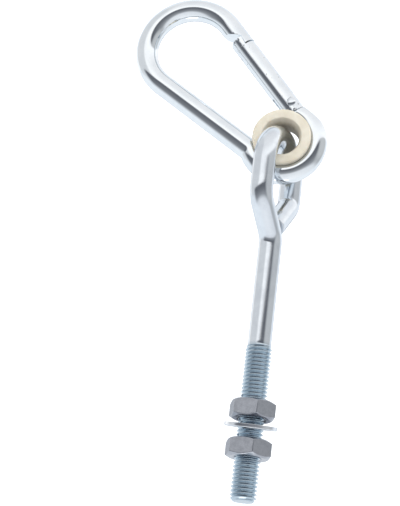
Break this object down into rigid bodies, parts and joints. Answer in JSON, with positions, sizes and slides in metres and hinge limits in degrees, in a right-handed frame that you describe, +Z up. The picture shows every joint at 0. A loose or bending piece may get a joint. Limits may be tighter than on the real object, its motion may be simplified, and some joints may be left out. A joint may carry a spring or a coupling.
{
  "type": "hammock hook",
  "caption": "Threaded eye bolt with nuts and a washer, and a sprung-gate carabiner that swings in its eye on a nylon bush; bolts through a beam to hang a hammock.",
  "frame": {"origin": "on the bolt's axis, in the inner nut's seat face", "axes": "+Z up the bolt to its free end; the carabiner lies in the XZ plane and swings about Y"},
  "size_m": [0.0822, 0.0368, 0.2056],
  "materials": {
    "bolt_zinc": "bright zinc plate with a faint blue tint on bent rod and rolled thread",
    "nut_zinc": "bright zinc plate over flat cold formed faces",
    "washer_zinc": "bright zinc plate on a stamped washer",
    "carabiner_zinc": "bright polished zinc plate with a faint blue tint",
    "gate_zinc": "bright polished zinc plate with a faint blue tint",
    "rivet_zinc": "zinc plated pin with peened ends",
    "spring_steel": "plain drawn spring steel",
    "nylon": "natural cream moulded nylon"
  },
  "bodies": {
    "bolt": {"eye_bolt": "bolt_zinc", "inner_nut": "nut_zinc", "flat_washer": "washer_zinc"},
    "outer_nut": {"outer_nut": "nut_zinc"},
    "carabiner": {"carabiner_body": "carabiner_zinc", "bush": "nylon"},
    "gate": {"gate": "gate_zinc", "gate_rivet": "rivet_zinc", "gate_spring": "spring_steel", "gate_plunger": "spring_steel"}
  },
  "joints": [
    {"name": "carabiner_swing", "type": "hinge", "parent": "bolt", "child": "carabiner", "pos_m": [-0.0006, 0, -0.1132], "axis": [0, 1, 0], "range_deg": [-78, 170]},
    {"name": "gate_open", "type": "hinge", "parent": "carabiner", "child": "gate", "pos_m": [-0.00273, 0, -0.12933], "axis": [0, -1, 0], "range_deg": [0, 25], "stiffness_Nm_per_rad": 0.3, "springref_deg": -34.38},
    {"name": "outer_nut_travel", "type": "slide", "parent": "bolt", "child": "outer_nut", "axis": [0, 0, 1], "range_m": [-0.0022, 0.0162]}
  ]
}
